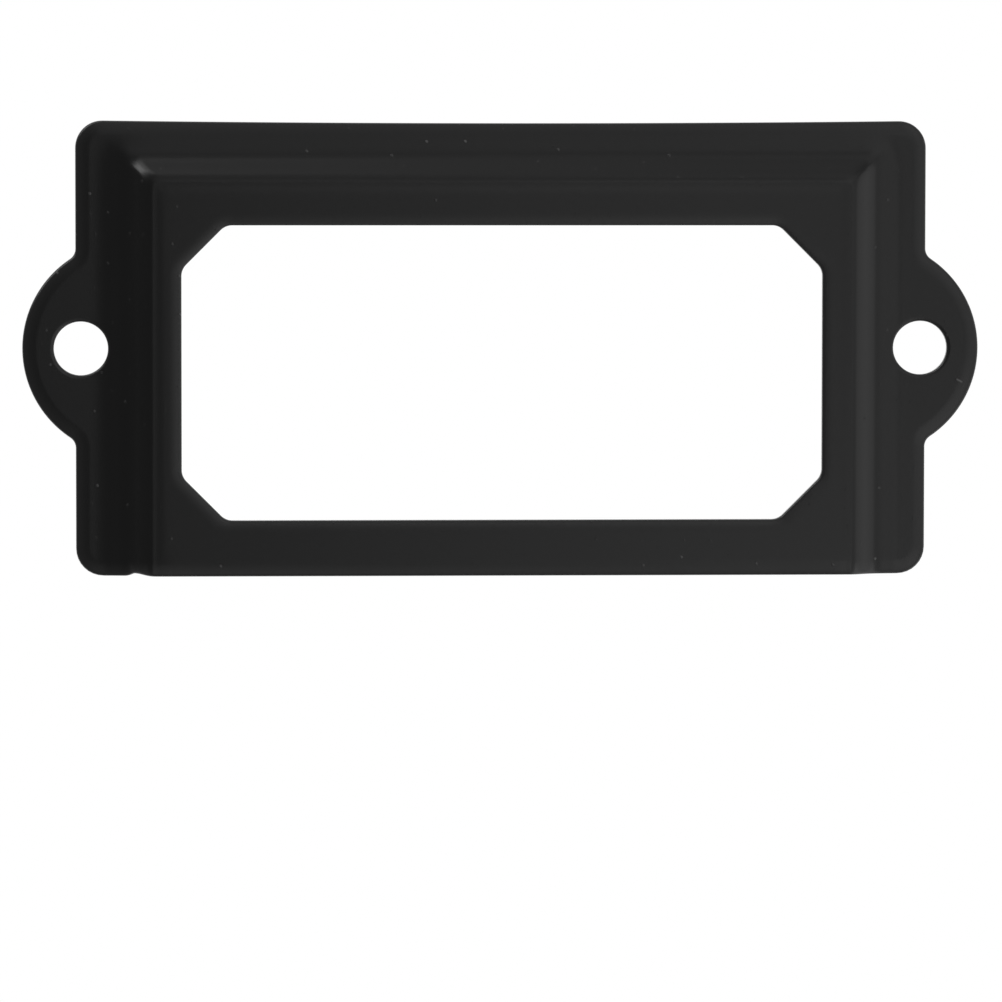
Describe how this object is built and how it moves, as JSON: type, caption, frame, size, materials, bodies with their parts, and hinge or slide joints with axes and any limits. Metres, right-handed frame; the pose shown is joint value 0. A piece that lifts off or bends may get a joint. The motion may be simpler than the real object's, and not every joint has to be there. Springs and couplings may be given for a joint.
{
  "type": "drawer label holder",
  "caption": "Pressed sheet-metal label holder for a drawer front: a raised frame open at its lower edge, a window with cut corners and a round screw ear at each end.",
  "frame": {"origin": "middle of the holder's back, on the plane of the drawer's front", "axes": "+X to the right and +Y up as the holder is seen from the front; +Z out of the drawer, towards the viewer; the card slides in from -Y"},
  "size_m": [0.07, 0.0332, 0.0019],
  "materials": {
    "black_coat": "satin black coat over pressed steel sheet"
  },
  "bodies": {
    "root": {"label_frame": "black_coat"}
  },
  "joints": []
}
